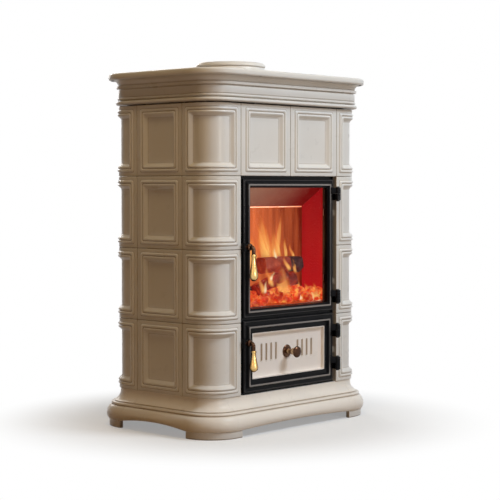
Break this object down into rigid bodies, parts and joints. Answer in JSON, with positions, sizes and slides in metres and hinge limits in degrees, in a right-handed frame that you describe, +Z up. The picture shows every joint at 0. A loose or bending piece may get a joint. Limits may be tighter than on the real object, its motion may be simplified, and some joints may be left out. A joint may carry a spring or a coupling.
{
  "type": "tiled wood stove",
  "caption": "Free-standing wood stove clad in glazed relief tiles, with a glazed fire door, an ash door with an air slide, lever handles and a flue collar on top.",
  "frame": {"origin": "on the floor, under the middle of the stove", "axes": "+X to the right along the front, +Y to the back, +Z up; the doors face -Y"},
  "size_m": [0.7804, 0.5256, 1.139],
  "materials": {
    "glazed_tile": "glossy ivory glaze",
    "glazed_moulding": "glossy ivory glaze",
    "fireclay": "matt fired clay, sooty",
    "cast_iron": "stoved black, semi-gloss",
    "painted_steel": "heat-resistant black paint",
    "plain_steel": "rolled sheet",
    "pin_steel": "blackened steel",
    "stove_glass": "clear ceramic glass",
    "enamel_panel": "cream glaze",
    "rope_seal": "braided glass rope",
    "brass_grip": "polished",
    "bronze_arm": "dark bronze",
    "brass_knob": "dark bronze and brass"
  },
  "bodies": {
    "stove": {"ash_pan": "plain_steel", "back_panel": "painted_steel", "baffle_plate": "fireclay", "base_plate": "painted_steel", "body_floor": "painted_steel", "body_front_wall": "painted_steel", "body_rear_wall": "painted_steel", "body_roof": "painted_steel", "body_shelf": "painted_steel", "body_side_walls": "painted_steel", "corner_feet": "glazed_moulding", "corner_posts": "painted_steel", "corner_tiles_back_left": "glazed_tile", "corner_tiles_back_right": "glazed_tile", "corner_tiles_front_left": "glazed_tile", "corner_tiles_front_right": "glazed_tile", "cornice_back": "glazed_moulding", "cornice_corners": "glazed_moulding", "cornice_front": "glazed_moulding", "cornice_left": "glazed_moulding", "cornice_right": "glazed_moulding", "door_throats": "painted_steel", "fire_grate": "cast_iron", "flue_rosette": "glazed_moulding", "flue_spigot": "painted_steel", "front_frame": "cast_iron", "hearth_slab": "fireclay", "hinge_pins": "pin_steel", "latch_keepers": "cast_iron", "liner_back": "fireclay", "liner_left": "fireclay", "liner_right": "fireclay", "lintel_tile_left": "glazed_tile", "lintel_tile_right": "glazed_tile", "pan_runners": "painted_steel", "plinth_back": "glazed_moulding", "plinth_corners": "glazed_moulding", "plinth_front": "glazed_moulding", "plinth_left": "glazed_moulding", "plinth_right": "glazed_moulding", "side_tiles_left": "glazed_tile", "side_tiles_right": "glazed_tile", "storage_blocks": "fireclay", "top_slab": "glazed_moulding"},
    "upper_door": {"upper_door": "cast_iron", "upper_door_seal": "rope_seal", "door_glass": "stove_glass", "glass_clips": "plain_steel"},
    "lower_door": {"lower_door": "cast_iron", "lower_door_seal": "rope_seal", "air_panel": "enamel_panel", "shutter_guides": "plain_steel"},
    "upper_handle": {"upper_handle": "bronze_arm", "upper_handle_grip": "brass_grip"},
    "lower_handle": {"lower_handle": "bronze_arm", "lower_handle_grip": "brass_grip"},
    "air_slide": {"air_shutter": "plain_steel", "air_knob": "brass_knob"}
  },
  "joints": [
    {"name": "upper_door_hinge", "type": "hinge", "parent": "stove", "child": "upper_door", "pos_m": [0.212, -0.2395, 0.56], "axis": [0, 0, 1], "range_deg": [0, 110]},
    {"name": "lower_door_hinge", "type": "hinge", "parent": "stove", "child": "lower_door", "pos_m": [0.212, -0.2395, 0.233], "axis": [0, 0, 1], "range_deg": [0, 110]},
    {"name": "upper_handle_turn", "type": "hinge", "parent": "upper_door", "child": "upper_handle", "pos_m": [-0.197, -0.2195, 0.565], "axis": [0, 1, 0], "range_deg": [0, 75]},
    {"name": "lower_handle_turn", "type": "hinge", "parent": "lower_door", "child": "lower_handle", "pos_m": [-0.197, -0.2195, 0.276], "axis": [0, 1, 0], "range_deg": [0, 75]},
    {"name": "air_slide_travel", "type": "slide", "parent": "lower_door", "child": "air_slide", "axis": [1, 0, 0], "range_m": [0, 0.011]}
  ]
}
